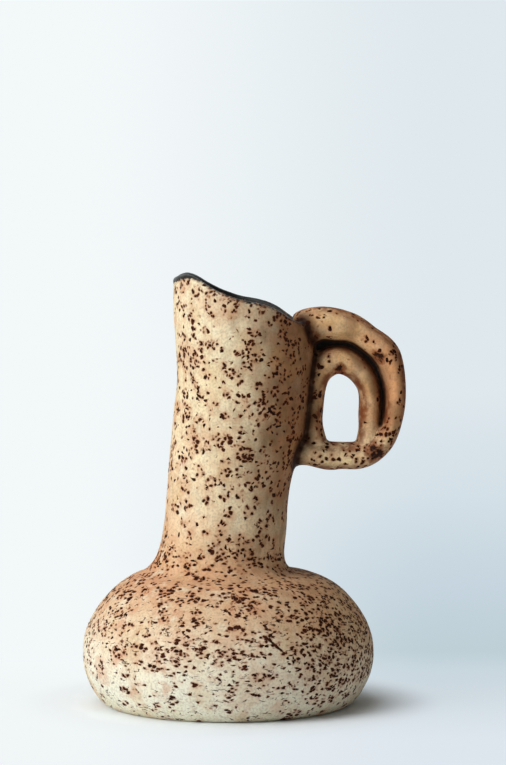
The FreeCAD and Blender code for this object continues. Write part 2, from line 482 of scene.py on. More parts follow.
# How far a surface near the mouth faces the inside of the neck, which is glazed all over.
def inwardOf(node, places, normals):
    if node not in ("mouth_lip", "neck_upper"):
        return np.zeros(len(places))
    low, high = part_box("neck_upper")
    towards = np.array([(low.x + high.x) / 2, (low.y + high.y) / 2, 0]) - places
    towards[:, 2] = 0
    towards /= np.linalg.norm(towards, axis=1)[:, None]
    return np.einsum("ij,ij->i", towards, normals)


def paintMarks(node, mesh):
    places, normals = readPlaces(mesh), readNormals(mesh)
    hole = markSettings["holeMiddle"], markSettings["holeReach"]
    marks = {
        "belowRim": (np.interp(places[:, 0], rimPlaces, rimHeights) - places[:, 2]) / mm,
        "crease": creaseOf(node, places),
        "groove": grooveOf(node, places),
        "handleShade": handleShadeOf(places),
        "edgeBand": edgeBandOf(places),
        # how far the handle faces into its finger hole, and away from its arch's middle, for
        # painted shade on these sides
        "holeSide": facing(places, normals, *hole),
        "outSide": -facing(places, normals, markSettings["archMiddle"]),
        "inward": inwardOf(node, places, normals),
    }
    for name, values in marks.items():
        paint(mesh, name, values)


for node, skin in skins.items():
    paintMarks(node, skin.data)
report("marks painted")


# Materials: small helpers for nodes, then the groups that more than one finish uses.
def addNode(tree, kind, inputs=None, **settings):
    made = tree.nodes.new(kind)
    for name, value in settings.items():
        setattr(made, name, value)
    for key, value in (inputs or {}).items():
        if isinstance(value, bpy.types.NodeSocket):
            tree.links.new(value, made.inputs[key])
        else:
            made.inputs[key].default_value = value
    return made


def nodeOf(tree, kind):
    return next(one for one in tree.nodes if one.type == kind)


def calc(tree, operation, first, second=0.0, clamp=False):
    inputs = {0: first, 1: second}
    made = addNode(tree, "ShaderNodeMath", inputs, operation=operation, use_clamp=clamp)
    return made.outputs[0]


def times(tree, *values):
    product = values[0]
    for value in values[1:]:
        product = calc(tree, "MULTIPLY", product, value)
    return product


def largest(tree, *values):
    most = values[0]
    for value in values[1:]:
        most = calc(tree, "MAXIMUM", most, value)
    return most


def vectorCalc(tree, operation, first, second=(0.0, 0.0, 0.0)):
    inputs = {0: first, "Scale" if operation == "SCALE" else 1: second}
    made = addNode(tree, "ShaderNodeVectorMath", inputs, operation=operation)
    isNumber = operation in ("DOT_PRODUCT", "DISTANCE", "LENGTH")
    return made.outputs["Value" if isNumber else "Vector"]


def between(tree, value, low, high, toLow=0.0, toHigh=1.0, kind="SMOOTHSTEP"):
    inputs = {"Value": value, "From Min": low, "From Max": high, "To Min": toLow, "To Max": toHigh}
    return addNode(tree, "ShaderNodeMapRange", inputs, interpolation_type=kind).outputs[0]


def mixColour(tree, share, first, second):
    inputs = {0: share, 6: first, 7: second}
    return addNode(tree, "ShaderNodeMix", inputs, data_type="RGBA").outputs[2]


def mixNumber(tree, share, first, second):
    return addNode(tree, "ShaderNodeMix", {0: share, 2: first, 3: second}).outputs[0]


# Colours laid over a base, one after another, each with the mask of where it shows.
def layered(tree, base, layers):
    for share, shade in layers:
        base = mixColour(tree, share, base, shade)
    return base


def colourRamp(tree, value, stops):
    ramp = addNode(tree, "ShaderNodeValToRGB", {0: value})
    bands = ramp.color_ramp
    while len(bands.elements) < len(stops):
        bands.elements.new(0.5)
    for element, (position, shade) in zip(bands.elements, stops):
        element.position = position
        element.color = shade
    return ramp.outputs[0]


def noiseAt(tree, place, size, detail, output=0):
    inputs = {"Vector": place, "Scale": 1 / size, "Detail": detail}
    return addNode(tree, "ShaderNodeTexNoise", inputs).outputs[output]


def noiseMask(tree, place, size, detail, *limits):
    return between(tree, noiseAt(tree, place, size, detail), *limits)


# A noise that swings about zero.
def swing(tree, place, size, detail, amount):
    return times(tree, calc(tree, "SUBTRACT", noiseAt(tree, place, size, detail), 0.5), amount)


def mark(tree, name):
    return addNode(tree, "ShaderNodeAttribute", attribute_name=name).outputs["Fac"]


def addBump(tree, shader, height, strength, distance):
    inputs = {"Height": height, "Strength": strength, "Distance": distance}
    tree.links.new(addNode(tree, "ShaderNodeBump", inputs).outputs[0], shader.inputs["Normal"])


def newMaterial(name):
    material = bpy.data.materials.new(name)
    material.use_nodes = True
    tree = material.node_tree
    coordinates = addNode(tree, "ShaderNodeTexCoord").outputs["Object"]
    return material, tree, nodeOf(tree, "BSDF_PRINCIPLED"), coordinates


numberKind, vectorKind = "NodeSocketFloat", "NodeSocketVector"


def newGroup(name, numbersIn, numbersOut):
    tree = bpy.data.node_groups.new(name, "ShaderNodeTree")
    tree.interface.new_socket("Place", in_out="INPUT", socket_type=vectorKind)
    for label in numbersIn:
        tree.interface.new_socket(label, in_out="INPUT", socket_type=numberKind)
    for label in numbersOut:
        tree.interface.new_socket(label, in_out="OUTPUT", socket_type=numberKind)
    return tree, tree.nodes.new("NodeGroupInput").outputs, tree.nodes.new("NodeGroupOutput").inputs


# Sizes in millimetres. A dot's measures are shares of the spacing, a lot's of the cluster size.
speckShape = {
    "warpSize": 5.0,
    "warp": 3.2,
    "ragged": (0.8, 2.0, 0.34),
    "radius": (0.28, 0.6),
    "spotEdge": (-0.05, 0.05, 1.0, 0.0),
    "bloomEdge": (0.0, 0.38, 1.0, 0.0),
    "ringRadius": (0.16, 0.4),
    "ring": (0.05, 0.16, 1.1, 0.0),
    "blot": (0.2, 0.44, 0.95, 0.0),
    "ringShare": 0.5,
    "halo": (0.15, 0.75, 1.0, 0.0),
    # the chance of a lone dot by density, and how soon it sets in
    "lone": (0.0, 2.8, 0.0, 0.36, "LINEAR"),
    "loneRise": 0.7,
}


# Iron spots: dots that stand in rings, blots and short rows, with a rusty bloom round each lot.
def makeSpeckGroup(look):
    sizes = ("Density", "Flatten", "Spacing", "Cluster")
    tree, given, out = newGroup("ironSpecks", sizes, ("Speck", "Rim", "Halo", "Tone"))
    flat = addNode(tree, "ShaderNodeCombineXYZ", {0: 1.0, 1: 1.0, 2: given["Flatten"]}).outputs[0]
    place = vectorCalc(tree, "MULTIPLY", given["Place"], flat)
    warp = noiseAt(tree, place, look["warpSize"], 1.0, output=1)
    warp = vectorCalc(tree, "SUBTRACT", warp, (0.5, 0.5, 0.5))
    place = vectorCalc(tree, "ADD", place, vectorCalc(tree, "SCALE", warp, look["warp"]))

    def cellsAt(where, size):
        scale = calc(tree, "DIVIDE", 1.0, given[size])
        cells = addNode(tree, "ShaderNodeTexVoronoi", {"Vector": where, "Scale": scale}).outputs
        return cells, addNode(tree, "ShaderNodeSeparateColor", {0: cells["Color"]}).outputs

    dots, chances = cellsAt(place, "Spacing")
    reach = calc(tree, "ADD", dots["Distance"], swing(tree, place, *look["ragged"]))
    radius = between(tree, chances[0], 0.0, 1.0, *look["radius"], "LINEAR")
    past = calc(tree, "SUBTRACT", reach, radius)
    lots, lotChances = cellsAt(dots["Position"], "Cluster")
    there = calc(tree, "LESS_THAN", lotChances[0], given["Density"])
    ringRadius = between(tree, lotChances[1], 0.0, 1.0, *look["ringRadius"], "LINEAR")
    offRing = calc(tree, "ABSOLUTE", calc(tree, "SUBTRACT", lots["Distance"], ringRadius))
    isRing = calc(tree, "GREATER_THAN", lotChances[2], look["ringShare"])
    blot = between(tree, lots["Distance"], *look["blot"])
    inLot = mixNumber(tree, isRing, blot, between(tree, offRing, *look["ring"]))
    rise = calc(tree, "MULTIPLY", given["Density"], look["loneRise"], clamp=True)
    lone = times(tree, between(tree, given["Density"], *look["lone"]), rise)
    chance = largest(tree, times(tree, inLot, there), lone)
    kept = calc(tree, "GREATER_THAN", chance, chances[1])
    lots, lotChances = cellsAt(place, "Cluster")
    there = calc(tree, "LESS_THAN", lotChances[0], given["Density"])
    results = {
        "Speck": times(tree, between(tree, past, *look["spotEdge"]), kept),
        "Rim": times(tree, between(tree, past, *look["bloomEdge"]), kept),
        "Halo": times(tree, between(tree, lots["Distance"], *look["halo"]), there),
        "Tone": chances[2],
    }
    for name, result in results.items():
        tree.links.new(result, out[name])
    return tree


# Size, detail and share of each noise in the clay's relief, in millimetres.
grainShape = {
    "fine": (0.9, 3.0, 0.35),
    "coarse": (4.5, 3.0, 0.6),
    "streak": (1.6, 3.0, 0.5),
    "streakStretch": (1.0, 1.0, 0.035),
}


# Fine clay grain as a height, with brush streaks that run up the wall.
def makeGrainGroup(look):
    tree, given, out = newGroup("clayGrain", ("Streaks",), ("Height", "Streak"))

    def grain(kind, place):
        size, detail, share = look[kind]
        found = noiseAt(tree, place, size, detail)
        return found, times(tree, found, share)

    fine = grain("fine", given["Place"])[1]
    coarse = grain("coarse", given["Place"])[1]
    along = vectorCalc(tree, "MULTIPLY", given["Place"], look["streakStretch"])
    streak, streakHeight = grain("streak", along)
    height = calc(tree, "ADD", calc(tree, "ADD", fine, coarse),
                  times(tree, streakHeight, given["Streaks"]))
    tree.links.new(height, out["Height"])
    tree.links.new(streak, out["Streak"])
    return tree


speckGroup = makeSpeckGroup(speckShape)
grainGroup = makeGrainGroup(grainShape)


def rgb(red, green, blue):
    linear = [((value / 255 + 0.055) / 1.055) ** 2.4 for value in (red, green, blue)]
    return (*linear, 1.0)


# Heights and sizes in millimetres.
claySurface = {
    # height and colour of the bare wall there; the pale stops up to 30 mm are partly the clay's
    # own cream, partly painted light that lifts the shade on the belly's downward-facing underside
    "heights": [
        (0, rgb(233, 234, 214)),
        (10, rgb(245, 247, 232)),
        (30, rgb(246, 240, 219)),
        (56, rgb(228, 202, 168)),
        (76, rgb(216, 172, 134)),
        (90, rgb(233, 202, 163)),
        (112, rgb(246, 228, 193)),
        (180, rgb(242, 228, 192)),
        (255, rgb(240, 228, 196)),
    ],
    "topHeight": 255.0,
    "wander": (22.0, 3.0, 0.16),
    "slantSwing": 110.0,
    # brown of the neck's right side, away from the lamps: partly the clay's own colour, partly
    # painted shade; also the colour of the brush streaks
    "sideBrown": rgb(146, 100, 62),
    # painted warm shade on the belly's right side, away from the lamps
    "bellyWarmShade": rgb(232, 190, 134),
    # the handle's clay tan, made paler in part as painted light, since the neck shades the handle
    "handleTan": rgb(236, 186, 128),
    "handleRose": rgb(226, 154, 104),
    # painted light on the handle's bottom bar, which lies in the neck's shadow
    "barPaintedLight": rgb(255, 234, 190),
    # the clay's pink blush, also laid on the wall's far left as painted edge shade
    "blushAndEdgeShade": rgb(212, 158, 124),
    "honey": rgb(206, 166, 108),
    "chalk": rgb(238, 234, 210),
    "smoke": rgb(122, 94, 68),
    # painted shade where the handle faces into its finger hole and on its outer edge
    "handleEdgeShade": rgb(118, 58, 32),
    "bloom": rgb(202, 146, 106),
    "rim": rgb(140, 78, 46),
    # painted shade at the handle's joints and under and behind its coils, and its darkest core
    "handleShade": rgb(138, 76, 42),
    "deepHandleShade": rgb(46, 22, 13),
    # painted shade in the crease where handle and wall meet and on the walls of the handle's
    # groove, and its darkest core
    "crease": rgb(70, 37, 20),
    "creaseCore": rgb(40, 22, 14),
    "speck": rgb(30, 12, 5),
    "speckRust": rgb(72, 32, 14),
    # masks of noise: size, detail, its low and high, and what these turn into if not 0 and 1
    "noises": {
        "handleTan": (11.0, 3.0, 0.3, 0.7, 0.45, 0.9),
        "blushAndEdgeShade": (15.0, 4.0, 0.5, 0.68),
        "honey": (19.0, 2.0, 0.52, 0.7, 0.0, 0.38),
        "chalk": (12.0, 5.0, 0.52, 0.7),
        "smoke": (13.0, 5.0, 0.46, 0.68),
        "dust": (1.3, 3.0, 0.42, 0.66, 0.0, 0.26),
        "patches": (26.0, 2.0, 0.34, 0.66, 0.55, 1.7, "LINEAR"),
        "crowds": (21.0, 2.0, 0.44, 0.6),
        "heavy": (16.0, 2.0, 0.44, 0.6, 0.15, 1.2),
        "brokenEdge": (5.0, 4.0, 0.32, 0.6, 0.25, 0.9),
        "brokenCrease": (6.0, 3.0, 0.25, 0.6, 0.65, 1.0),
        "burnt": (2.2, 3.0, 0.38, 0.58, 0.1, 0.85),
    },
    "stretches": {
        "honey": (1.0, 1.0, 0.6),
        "chalk": (1.3, 1.3, 0.8),
        "smoke": (1.0, 1.0, 0.55),
    },
    # masks that fade along a way or with a painted mark: from, to, and the values there
    "fades": {
        "roseAcross": ("across", 66.0, 94.0, 0.0, 0.6),
        # painted light on the bottom bar, fading out above it
        "barLightBelow": ("up", 150.0, 166.0, 0.85, 0.0),
        # browner on the neck's right, partly painted shade
        "brownAcross": ("slant", 7.0, 36.0),
        "brownUp": ("up", 86.0, 128.0, 0.05, 0.95),
        # painted warm shade on the belly's right
        "warmAcross": ("slant", 15.0, 75.0, 0.0, 0.4),
        "warmBelow": ("up", 84.0, 100.0, 1.0, 0.0),
        "warmAbove": ("up", 12.0, 48.0, 0.2, 1.0),
        # more blush towards the left, and along the far left of shoulder and neck: painted edge
        # shade
        "blushAcross": ("across", -38.0, 0.0, 0.6, 0.28),
        "leftEdgeShade": ("across", -42.0, -24.0, 0.8, 0.0),
        "leftEdgeShadeBelow": ("up", 120.0, 215.0, 0.85, 0.15),
        "leftEdgeShadeAbove": ("up", 56.0, 82.0),
        "chalkAcross": ("slant", 0.0, 32.0, 0.55, 0.14),
        "smokeAcross": ("slant", -26.0, 24.0, 0.12, 0.62),
        "smokeUp": ("up", 45.0, 110.0, 0.12, 1.0),
        "smokeOffBar": ("up", 150.0, 166.0, 0.3, 1.0),
        "reliefUp": ("up", 70.0, 110.0),
        "streaksUp": ("up", 70.0, 105.0),
        # painted shade in the finger hole and on the handle's outer edge
        "holeSide": ("holeSide", 0.0, 0.7),
        "outSide": ("outSide", 0.5, 1.0),
        "edgeBand": ("edgeBand", 0.1, 0.75, 0.4, 2.4),
        "onBar": ("up", 148.0, 164.0, 1.6, 0.0),
        "onStrap": ("across", 58.0, 66.0, 0.9, 0.0),
        "offBelly": ("up", 74.0, 90.0),
        "neckUp": ("up", 96.0, 150.0, 0.6, 1.0),
        "crowdsAcross": ("slant", -32.0, 2.0, 0.55, 1.3),
        "offNeck": ("up", 86.0, 102.0, 1.0, 0.0),
        "bellyUp": ("up", 6.0, 44.0, 0.4, 1.35),
        "bellyAcross": ("across", 5.0, 60.0, 1.0, 1.7),
        "heavyAcross": ("across", -60.0, 0.0, 0.55, 1.0),
        "heavyUp": ("up", 8.0, 38.0, 0.3, 1.0),
        "linesBelow": ("up", 62.0, 84.0, 0.9, 0.0),
        "bloomUp": ("up", 10.0, 60.0, 0.26, 0.42),
        # painted shade at the handle's joints and undersides, in the crease, and in the groove
        "handleShaded": ("handleShade", 0.0, 0.35),
        "crease": ("crease", 0.1, 0.85),
        "groove": ("groove", 0.35, 0.95),
        "inward": ("inward", 0.05, 0.3),
        "glazeEdge": ("across", -30.0, -12.0, 2.9, 0.9),
    },
    "streaks": (0.5, 0.72, 0.0, 0.16),
    "layers": {
        "handle": {"Flatten": 1.0, "Spacing": 2.3, "Cluster": 7.0},
        "neck": {"Flatten": 1.0, "Spacing": 2.1, "Cluster": 7.8},
        "crowds": {"Flatten": 1.15, "Spacing": 2.3, "Cluster": 9.0},
        "belly": {"Flatten": 1.6, "Spacing": 2.5, "Cluster": 8.2},
        "heavy": {"Flatten": 1.4, "Spacing": 2.4, "Cluster": 10.5},
    },
    # the second layer in one place takes its pattern from elsewhere
    "layerShift": (31.0, 17.0, 9.0),
    # place and reach of where spots crowd on the belly's front, how dense they get there, and
    # the share of the reach that is full
    "heavySpots": [((60.0, 0.0, 36.0), 36.0), ((34.0, 0.0, 36.0), 8.0), ((10.0, 0.0, 66.0), 12.0)],
    "heavyMost": 2.8,
    "heavyCore": 0.4,
    "lineStretch": (1.0, 1.0, 2.1),
    "lineNoise": (12.0, 3.0),
    "lineWidth": (0.008, 0.02, 1.0, 0.0),
    "lineBreaks": (4.6, 2.0, 0.52, 0.58),
    "scratch": ((22.0, 0.0, 49.5), (31.5, 0.0, 40.5)),
    "scratchRagged": (2.4, 2.0, 2.6),
    "scratchWidth": (0.3, 0.8, 1.0, 0.0),
    "rimShare": 0.7,
    # ragged edge of the painted shade at the handle's joints, and where it and its darkest core
    # set in
    "handleShadeRagged": (3.2, 4.0, 1.7),
    "handleShadeEdge": (0.1, 0.8, 0.0, 0.85),
    "deepHandleShadeEdge": (0.7, 1.0),
    # where the painted crease shade turns to its darkest core
    "creaseCoreEdge": (0.86, 1.0, 0.0, 0.75),
    "rough": 0.66,
    "speckRough": 0.85,
    "specular": 0.1,
    "speckHeight": -0.5,
    "bump": 0.4,
    "bumpDepth": 0.5 * mm,
}
glazeSurface = {
    "dark": rgb(24, 24, 24),
    "pale": rgb(54, 56, 53),
    "brown": rgb(66, 44, 30),
    "burntEdge": rgb(92, 56, 38),
    "mottle": (7.0, 4.0, 0.35, 0.7),
    "rust": (3.0, 3.0, 0.56, 0.7),
    # how the glaze's edge on the outer wall swings, fades and burns the clay below it
    "edgeSwing": (1.9, 2.0, 3.4),
    "edge": (-0.3, 0.3),
    "burnt": (-1.7, -0.3),
    "rough": 0.38,
    "coatRough": (5.0, 3.0, 0.3, 0.7, 0.3, 0.52),
    "specular": 0.25,
    "ripple": (6.0, 3.0),
    "bump": 0.4,
    "bumpDepth": 0.3 * mm,
}
grooveSurface = {
    "dark": rgb(5, 5, 6),
    "soot": rgb(20, 14, 11),
    "sooty": (3.0, 4.0, 0.35, 0.7),
    "rough": (2.0, 3.0, 0.3, 0.7, 0.5, 0.8),
    "specular": 0.12,
}


# Makes masks by their names in the settings. Several names give the product of their masks.
def masksOf(tree, place, ways):
    look = claySurface
    made = {}

    def maskOf(label):
        if label in look["noises"]:
            where = place
            if label in look["stretches"]:
                where = vectorCalc(tree, "MULTIPLY", place, look["stretches"][label])
            return noiseMask(tree, where, *look["noises"][label])
        way, *limits = look["fades"][label]
        return between(tree, ways[way] if way in ways else mark(tree, way), *limits)

    def masks(*labels):
        for label in labels:
            if label not in made:
                made[label] = maskOf(label)
        return times(tree, *[made[label] for label in labels])

    return masks


# The clouds of colour on the bare wall.
def cloudsOf(tree, masks, streak, onHandle):
    look = claySurface
    if onHandle:
        # On the handle: its tan, partly painted light for the neck's shadow; redder to the right;
        # and painted light on the bottom bar, which lies in the neck's shadow.
        clouds = [
            (masks("handleTan"), look["handleTan"]),
            (masks("roseAcross"), look["handleRose"]),
            (masks("barLightBelow"), look["barPaintedLight"]),
        ]
    else:
        clouds = [
            # Browner on the neck's right, away from the lamps: partly the clay's own colour,
            # partly painted shade.
            (masks("brownAcross", "brownUp"), look["sideBrown"]),
            # Painted warm shade on the belly's right side, away from the lamps.
            (masks("warmAcross", "warmBelow", "warmAbove"), look["bellyWarmShade"]),
        ]
    # Painted edge shade along the far left of the shoulder and neck, in the blush colour; the
    # blush also grows towards the left as painted shade.
    leftEdgeShade = masks("leftEdgeShade", "leftEdgeShadeBelow", "leftEdgeShadeAbove")
    smoke = masks("smoke", "smokeAcross", "smokeUp")
    if onHandle:
        smoke = times(tree, smoke, masks("smokeOffBar"))
    streaks = between(tree, streak, *look["streaks"])
    clouds += [
        (largest(tree, masks("blushAndEdgeShade", "blushAcross"), leftEdgeShade), look["blushAndEdgeShade"]),
        (masks("honey"), look["honey"]),
        (masks("chalk", "chalkAcross"), look["chalk"]),
        (smoke, look["smoke"]),
        (times(tree, streaks, masks("streaksUp")), look["sideBrown"]),
        (masks("dust"), look["smoke"]),
    ]
    # Painted shade on the handle where it faces into the finger hole and on its outer edge, broken
    # up by noise.
    if onHandle:
        handleEdgeShadeMask = largest(tree, masks("holeSide"), masks("outSide"))
        clouds.append((times(tree, handleEdgeShadeMask, masks("brokenEdge")), look["handleEdgeShade"]))
    return clouds


def specksOf(tree, place, kind, density):
    inputs = {"Place": place, "Density": density, **claySurface["layers"][kind]}
    return addNode(tree, "ShaderNodeGroup", inputs, node_tree=speckGroup).outputs


# Thin brown lines that run round the belly, along the level lines of a slow noise.
def lineMarks(tree, place):
    look = claySurface
    flat = vectorCalc(tree, "MULTIPLY", place, look["lineStretch"])
    off = calc(tree, "ABSOLUTE", swing(tree, flat, *look["lineNoise"], 1.0))
    breaks = noiseMask(tree, flat, *look["lineBreaks"])
    return times(tree, between(tree, off, *look["lineWidth"]), breaks)


# One scratched line on the belly's front, straight from a start to an end.
def scratchMark(tree, place, flatPlace):
    start, end = [Vector(point) for point in claySurface["scratch"]]
    length = (end - start).length
    along = (end - start) / length
    fromStart = vectorCalc(tree, "SUBTRACT", flatPlace, start)
    reached = vectorCalc(tree, "DOT_PRODUCT", fromStart, along)
    limits = {"Value": reached, "Min": 0.0, "Max": length}
    inside = addNode(tree, "ShaderNodeClamp", limits).outputs[0]
    foot = addNode(tree, "ShaderNodeVectorMath", {0: along, "Scale": inside}, operation="SCALE")
    gap = vectorCalc(tree, "DISTANCE", fromStart, foot.outputs[0])
    gap = calc(tree, "ADD", gap, swing(tree, place, *claySurface["scratchRagged"]))
    depth = addNode(tree, "ShaderNodeSeparateXYZ", {0: place}).outputs[1]
    inFront = calc(tree, "LESS_THAN", depth, 0.0)
    return times(tree, between(tree, gap, *claySurface["scratchWidth"]), inFront)


# Iron spots: one layer on the handle. The neck and the belly have two each, a level one and one
# for crowded places, and the belly's are flatter.
def spotsOf(tree, place, masks, onHandle):
    look = claySurface
    if onHandle:
        density = largest(tree, masks("edgeBand"), masks("onBar"), masks("onStrap"))
        layers = [specksOf(tree, place, "handle", density)]
    else:
        flatPlace = vectorCalc(tree, "MULTIPLY", place, (1.0, 0.0, 1.0))
        shifted = vectorCalc(tree, "ADD", place, look["layerShift"])
        heavy = masks("heavy", "heavyAcross", "heavyUp")
        for spot, reach in look["heavySpots"]:
            gap = vectorCalc(tree, "DISTANCE", flatPlace, spot)
            core = look["heavyCore"] * reach
            heavy = largest(tree, heavy, between(tree, gap, core, reach, look["heavyMost"], 0.0))
        heavy = times(tree, masks("offNeck"), heavy)
        crowds = masks("offBelly", "neckUp", "crowds", "crowdsAcross")
        belly = masks("offNeck", "bellyUp", "patches", "bellyAcross")
        layers = [
            specksOf(tree, place, "neck", masks("offBelly", "neckUp", "patches")),
            specksOf(tree, shifted, "crowds", crowds),
            specksOf(tree, place, "belly", belly),
            specksOf(tree, shifted, "heavy", heavy),
        ]
    spots = {"Tone": layers[0]["Tone"]}
    for name in ("Speck", "Rim", "Halo"):
        spots[name] = largest(tree, *[layer[name] for layer in layers])
    if not onHandle:
        lines = times(tree, lineMarks(tree, place), masks("linesBelow"))
        scratch = scratchMark(tree, place, flatPlace)
        spots["Speck"] = largest(tree, spots["Speck"], lines, scratch)
    return spots


# The bloom round the spots, then painted shade at the handle's joints and in the crease and
# groove, then the spots themselves.
def marksOver(tree, place, masks, spots):
    look = claySurface
    # Painted shade at the handle's joints and under and behind its coils, with a ragged edge.
    handleShade = calc(tree, "ADD", mark(tree, "handleShade"), swing(tree, place, *look["handleShadeRagged"]))
    handleShade = times(tree, handleShade, masks("handleShaded"))
    # Painted shade in the crease between handle and wall and on the walls of the handle's groove.
    crease = largest(tree, masks("crease"), masks("groove"))
    return [
        (times(tree, spots["Halo"], masks("bloomUp")), look["bloom"]),
        (times(tree, spots["Rim"], look["rimShare"]), look["rim"]),
        (between(tree, handleShade, *look["handleShadeEdge"]), look["handleShade"]),
        (between(tree, handleShade, *look["deepHandleShadeEdge"]), look["deepHandleShade"]),
        (times(tree, crease, masks("brokenCrease")), look["crease"]),
        (between(tree, crease, *look["creaseCoreEdge"]), look["creaseCore"]),
        (spots["Speck"], mixColour(tree, spots["Tone"], look["speck"], look["speckRust"])),
    ]


def glazeColour(tree, place):
    look = glazeSurface
    mottled = mixColour(tree, noiseMask(tree, place, *look["mottle"]), look["dark"], look["pale"])
    return mixColour(tree, noiseMask(tree, place, *look["rust"]), mottled, look["brown"])


# The glaze runs over the lip to a ragged edge and has burnt the clay below it.
def glazeEdge(tree, place, masks):
    look = glazeSurface
    below = calc(tree, "ADD", mark(tree, "belowRim"), swing(tree, place, *look["edgeSwing"]))
    overEdge = calc(tree, "SUBTRACT", masks("glazeEdge"), below)
    burnt = times(tree, between(tree, overEdge, *look["burnt"]), masks("burnt"))
    glazed = largest(tree, between(tree, overEdge, *look["edge"]), masks("inward"))
    return burnt, glazed


def makeClayMaterial(name, onHandle, specular):
    look = claySurface
    material, tree, shader, coordinates = newMaterial(name)
    place = vectorCalc(tree, "SCALE", coordinates, 1 / mm)
    axes = addNode(tree, "ShaderNodeSeparateXYZ", {0: place}).outputs
    wander = swing(tree, place, *look["wander"])
    slant = calc(tree, "ADD", axes[0], times(tree, wander, look["slantSwing"]))
    masks = masksOf(tree, place, {"across": axes[0], "up": axes[2], "slant": slant})
    grainInputs = {"Place": place, "Streaks": masks("reliefUp")}
    grain = addNode(tree, "ShaderNodeGroup", grainInputs, node_tree=grainGroup).outputs
    share = calc(tree, "DIVIDE", axes[2], look["topHeight"], clamp=True)
    stops = [(height / look["topHeight"], shade) for height, shade in look["heights"]]
    base = colourRamp(tree, calc(tree, "ADD", share, wander), stops)
    base = layered(tree, base, cloudsOf(tree, masks, grain["Streak"], onHandle))
    spots = spotsOf(tree, place, masks, onHandle)
    base = layered(tree, base, marksOver(tree, place, masks, spots))
    rough = mixNumber(tree, spots["Speck"], look["rough"], look["speckRough"])
    if not onHandle:
        burnt, glazed = glazeEdge(tree, place, masks)
        glaze = [(burnt, glazeSurface["burntEdge"]), (glazed, glazeColour(tree, place))]
        base = layered(tree, base, glaze)
        rough = mixNumber(tree, glazed, rough, glazeSurface["rough"])
    tree.links.new(base, shader.inputs["Base Color"])
    tree.links.new(rough, shader.inputs["Roughness"])
    shader.inputs["Specular IOR Level"].default_value = specular
    height = calc(tree, "ADD", grain["Height"], times(tree, spots["Speck"], look["speckHeight"]))
    addBump(tree, shader, height, look["bump"], look["bumpDepth"])
    return material


def makeGlazeMaterial(look):
    material, tree, shader, coordinates = newMaterial("darkGlaze")
    place = vectorCalc(tree, "SCALE", coordinates, 1 / mm)
    tree.links.new(glazeColour(tree, place), shader.inputs["Base Color"])
    tree.links.new(noiseMask(tree, place, *look["coatRough"]), shader.inputs["Roughness"])
    ripple = noiseAt(tree, place, *look["ripple"])
    addBump(tree, shader, ripple, look["bump"], look["bumpDepth"])
    return material


def makeGrooveMaterial(look):
    material, tree, shader, coordinates = newMaterial("grooveClay")
    place = vectorCalc(tree, "SCALE", coordinates, 1 / mm)
    base = mixColour(tree, noiseMask(tree, place, *look["sooty"]), look["dark"], look["soot"])
    tree.links.new(base, shader.inputs["Base Color"])
    tree.links.new(noiseMask(tree, place, *look["rough"]), shader.inputs["Roughness"])
    shader.inputs["Specular IOR Level"].default_value = look["specular"]
    return material


wallClay = makeClayMaterial("speckledClay", False, claySurface["specular"])
lipClay = makeClayMaterial("lipClay", False, glazeSurface["specular"])
handleClay = makeClayMaterial("handleClay", True, claySurface["specular"])
darkGlaze = makeGlazeMaterial(glazeSurface)
grooveClay = makeGrooveMaterial(grooveSurface)

finishes = dict.fromkeys(courses, wallClay)
finishes.update(dict.fromkeys(handleNodes, handleClay))
finishes.update(dict.fromkeys(glazeNames, darkGlaze))
finishes.update({"mouth_lip": lipClay, "handle_web": grooveClay})

for node, skin in skins.items():
    mesh = skin.data
    mesh.materials.clear()
    mesh.materials.append(finishes[node])
    mesh.shade_smooth()
    mesh.set_sharp_from_angle(angle=math.radians(claySettings["sharpAngle"]))
    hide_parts(node)
    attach(skin, "root")
report("materials given")

roomPale = rgb(243, 248, 249)

# Floor and backdrop are one sweep of pale paper. The camera sees it by its own light, but near
# the jug the floor keeps its shadow. On the right that light is a painted shade, which out from
# the jug's foot stands in for most of the jug's own shadow. Towards its sides and front the paper
# takes the pale colour of the room, so that no view shows where it ends.
stageSettings = {
    "halfWidth": 4.0,
    "front": -3.4,
    "back": 3.8,
    "height": 3.0,
    "bend": 0.7,
    "turns": 24,
    # how far behind the jug, and the paper's colour there on the right-hand side: a painted shade
    "right": [
        (-0.12, rgb(223, 232, 240)),
        (0.06, rgb(208, 220, 228)),
        (0.19, rgb(190, 207, 214)),
        (0.48, rgb(197, 212, 222)),
        (1.2, rgb(212, 224, 231)),
        (2.8, rgb(223, 232, 237)),
    ],
    # from left to right across the camera's view, as a slope, where the painted shade sets in, and
    # the camera's distance
    "rightFrom": (-0.06, 0.075),
    "viewDistance": 1.7,
    "frontFade": (-0.9, -0.3),
    "sideFade": (0.55, 1.5, 1.0, 0.0),
    # where the paper's own light sets in and is full: behind the jug, round its foot, far away
    "glowBehind": (-0.01, 0.15),
    "glowRing": (0.08, 0.128),
    "glowFar": (0.3, 0.9),
    "floorGlow": 0.86,
    "floor": (0.88, 0.945, 0.995, 1),
    "bounce": (0.86, 0.84, 0.8, 1),
    "rough": 0.9,
}


